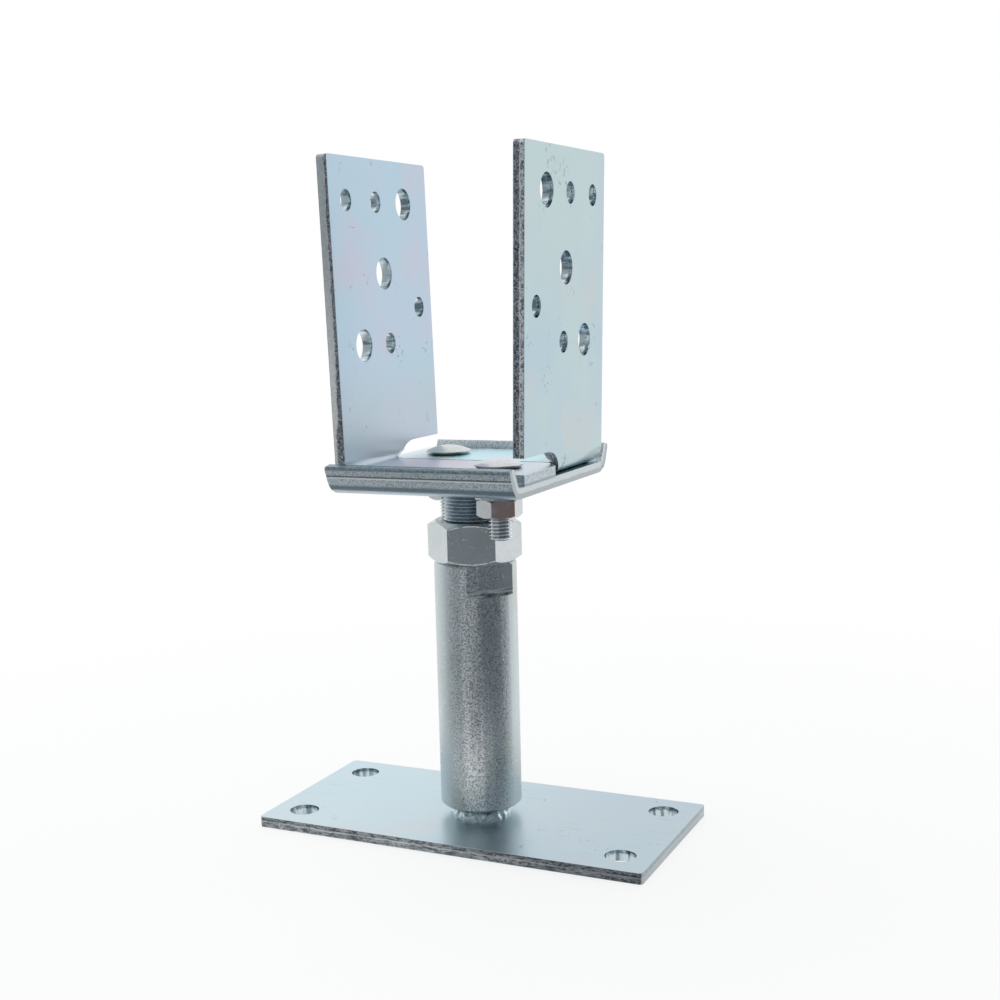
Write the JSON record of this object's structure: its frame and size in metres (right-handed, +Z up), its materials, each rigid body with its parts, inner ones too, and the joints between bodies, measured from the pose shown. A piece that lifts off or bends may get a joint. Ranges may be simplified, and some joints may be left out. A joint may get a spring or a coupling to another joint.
{
  "type": "timber post base",
  "caption": "Height and width adjustable timber post base: a drilled plate and sleeve carry a threaded rod, a tray and two upright L brackets.",
  "frame": {"origin": "centre of the base plate's underside, on the axis of the sleeve and rod", "axes": "+Z up along the rod, X along the base plate's long side and the brackets' travel, -Y to the front, where the left bracket's leg lies"},
  "size_m": [0.15, 0.09, 0.2424],
  "materials": {
    "plate_zinc": "bright blue zinc plating on rolled steel bar, slightly wavy, with fine scuffs",
    "turned_zinc": "bright zinc plating over a fine turned and tumbled surface",
    "weld_zinc": "plated weld bead, bright and lumpy",
    "thread_zinc": "zinc-plated rolled thread, dark between the crests",
    "lock_nut_zinc": "bright zinc plating on a hexagon nut",
    "tray_zinc": "zinc plating over press-bent sheet, grainy on the outside of the bends",
    "bracket_zinc": "blue-white zinc plating on sheet, with burnished and torn cut edges",
    "bolt_zinc": "bright zinc plating on a forged bolt",
    "washer_zinc": "bright zinc plating on a punched washer",
    "small_nut_zinc": "bright zinc plating on a hexagon nut"
  },
  "bodies": {
    "foot": {"base_plate": "plate_zinc", "sleeve": "turned_zinc", "base_weld": "weld_zinc"},
    "lock_nut": {"lock_nut": "lock_nut_zinc"},
    "stem": {"threaded_rod": "thread_zinc", "rod_weld": "weld_zinc", "tray": "tray_zinc"},
    "right_bracket": {"bracket_right": "bracket_zinc", "bolt_rear": "bolt_zinc", "washer_rear": "washer_zinc", "bolt_nut_rear": "small_nut_zinc"},
    "left_bracket": {"bracket_left": "bracket_zinc", "bolt_front": "bolt_zinc", "washer_front": "washer_zinc", "bolt_nut_front": "small_nut_zinc"}
  },
  "joints": [
    {"name": "height", "type": "slide", "parent": "foot", "child": "stem", "axis": [0, 0, 1], "range_m": [-0.004, 0.04]},
    {"name": "lock_nut_turn", "type": "hinge", "parent": "foot", "child": "lock_nut", "pos_m": [0, 0, 0.1068], "axis": [0, 0, 1], "continuous": true},
    {"name": "right_width", "type": "slide", "parent": "stem", "child": "right_bracket", "axis": [1, 0, 0], "range_m": [0, 0.0065]},
    {"name": "left_width", "type": "slide", "parent": "stem", "child": "left_bracket", "axis": [-1, 0, 0], "range_m": [0, 0.0065]}
  ]
}
